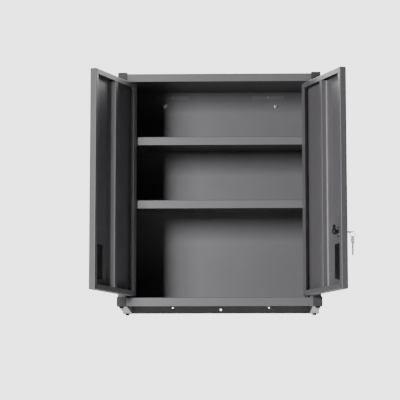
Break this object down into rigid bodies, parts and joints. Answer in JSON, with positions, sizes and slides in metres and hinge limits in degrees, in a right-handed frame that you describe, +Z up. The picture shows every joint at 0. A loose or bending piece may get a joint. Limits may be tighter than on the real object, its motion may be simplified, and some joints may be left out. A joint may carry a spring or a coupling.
{
  "type": "hanging wall cabinet",
  "caption": "Steel hanging wall cabinet with folded double doors on pins, lift-out shelves, recessed handles and a cam lock.",
  "frame": {"origin": "on the wall plane, midway between the two hanging brackets, at the height of their hooks", "axes": "+Z up; +Y into the wall, so the front faces -Y; +X to the right as seen from the front"},
  "size_m": [0.7643, 0.5355, 0.7115],
  "materials": {
    "powder_coat": "dark-grey powder coat, satin with a fine grain",
    "cap_plastic": "dark-grey moulded, matt",
    "stud_rubber": "black rubber",
    "rail_aluminium": "mill finish",
    "handle_plastic": "black moulded, low sheen",
    "bush_plastic": "black moulded",
    "chrome": "bright plated",
    "zinc_steel": "zinc plated",
    "key_brass": "worn nickelled brass",
    "black_steel": "black oxide",
    "bracket_zinc": "zinc plated",
    "strip_steel": "lighter grey painted strip"
  },
  "bodies": {
    "cabinet": {"back_panel": "powder_coat", "bottom_front_left_cap": "cap_plastic", "bottom_front_right_cap": "cap_plastic", "bottom_hinge_bush_left": "bush_plastic", "bottom_hinge_bush_right": "bush_plastic", "bottom_left_side_rail": "rail_aluminium", "bottom_rear_left_cap": "cap_plastic", "bottom_rear_right_cap": "cap_plastic", "bottom_right_side_rail": "rail_aluminium", "bottom_tray": "powder_coat", "cap_screws": "black_steel", "foot_stud_front_left": "stud_rubber", "foot_stud_front_right": "stud_rubber", "foot_stud_rear_left": "stud_rubber", "foot_stud_rear_right": "stud_rubber", "hang_bolts": "chrome", "hang_bracket_left": "bracket_zinc", "hang_bracket_right": "bracket_zinc", "hang_nuts": "zinc_steel", "left_side_panel": "powder_coat", "lower_shelf": "powder_coat", "rear_flange_strips": "strip_steel", "right_side_panel": "powder_coat", "shelf_clips": "zinc_steel", "strip_screws": "zinc_steel", "top_front_left_cap": "cap_plastic", "top_front_right_cap": "cap_plastic", "top_hinge_bush_left": "bush_plastic", "top_hinge_bush_right": "bush_plastic", "top_hinge_plate_left": "powder_coat", "top_hinge_plate_right": "powder_coat", "top_left_side_rail": "rail_aluminium", "top_rear_left_cap": "cap_plastic", "top_rear_right_cap": "cap_plastic", "top_right_side_rail": "rail_aluminium", "top_tray": "powder_coat", "upper_shelf": "powder_coat"},
    "left_door": {"left_door_pan": "powder_coat", "left_door_stiffener": "powder_coat", "left_handle_cup": "handle_plastic", "left_hinge_pins": "zinc_steel"},
    "right_door": {"right_door_pan": "powder_coat", "right_door_stiffener": "powder_coat", "right_handle_cup": "handle_plastic", "right_hinge_pins": "zinc_steel", "lock_barrel": "chrome", "lock_nut": "chrome"},
    "lock_core": {"lock_plug": "chrome", "lock_cam": "black_steel", "cam_bolt": "chrome", "key": "key_brass"},
    "ring": {"key_ring": "zinc_steel"},
    "hanging_key": {"spare_key": "key_brass"}
  },
  "joints": [
    {"name": "left_door_swing", "type": "hinge", "parent": "cabinet", "child": "left_door", "pos_m": [-0.2615, -0.293, -0.3325], "axis": [0, 0, 1], "range_deg": [0, 112.5]},
    {"name": "right_door_swing", "type": "hinge", "parent": "cabinet", "child": "right_door", "pos_m": [0.2615, -0.293, -0.3325], "axis": [0, 0, -1], "range_deg": [0, 112.5]},
    {"name": "lock_turn", "type": "hinge", "parent": "right_door", "child": "lock_core", "pos_m": [0.34339, -0.49071, -0.4855], "axis": [0.9239, 0.3827, 0], "range_deg": [0, 90]},
    {"name": "ring_swing", "type": "hinge", "parent": "lock_core", "child": "ring", "pos_m": [0.38044, -0.47536, -0.4855], "axis": [0.9239, 0.3827, 0], "range_deg": [-20, 20]},
    {"name": "hanging_key_swing", "type": "hinge", "parent": "ring", "child": "hanging_key", "pos_m": [0.38645, -0.47288, -0.5009], "axis": [-0.9239, 0.3827, 0], "range_deg": [-30, 30]}
  ]
}
